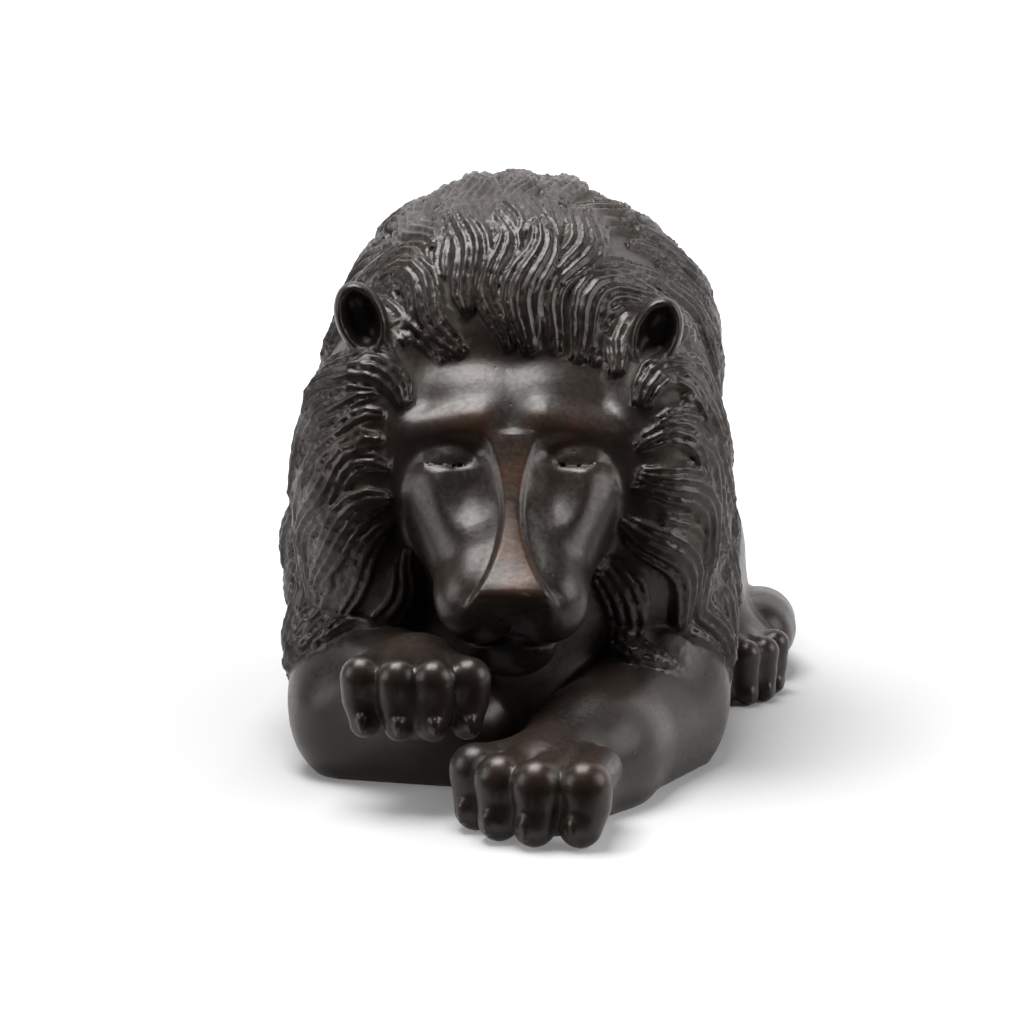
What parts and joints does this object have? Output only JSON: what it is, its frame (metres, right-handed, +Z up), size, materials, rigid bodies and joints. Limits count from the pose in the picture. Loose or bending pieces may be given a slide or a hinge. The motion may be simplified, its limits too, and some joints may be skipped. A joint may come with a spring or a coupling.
{
  "type": "lion statue",
  "caption": "Cast bronze statue of a resting lion, head lowered over crossed forepaws, full combed mane, dark brown patina",
  "frame": {"origin": "middle of the bounding box on the flat underside", "axes": "+Z up, the head faces -Y, the lion's own left is +X"},
  "size_m": [0.1154, 0.2636, 0.1301],
  "materials": {
    "bronze": "cast bronze, a copper alloy, with a near-black brown patina, satin, rubbed to warm brown on the brows, nose and knuckles"
  },
  "bodies": {
    "root": {"lion": "bronze"}
  },
  "joints": []
}
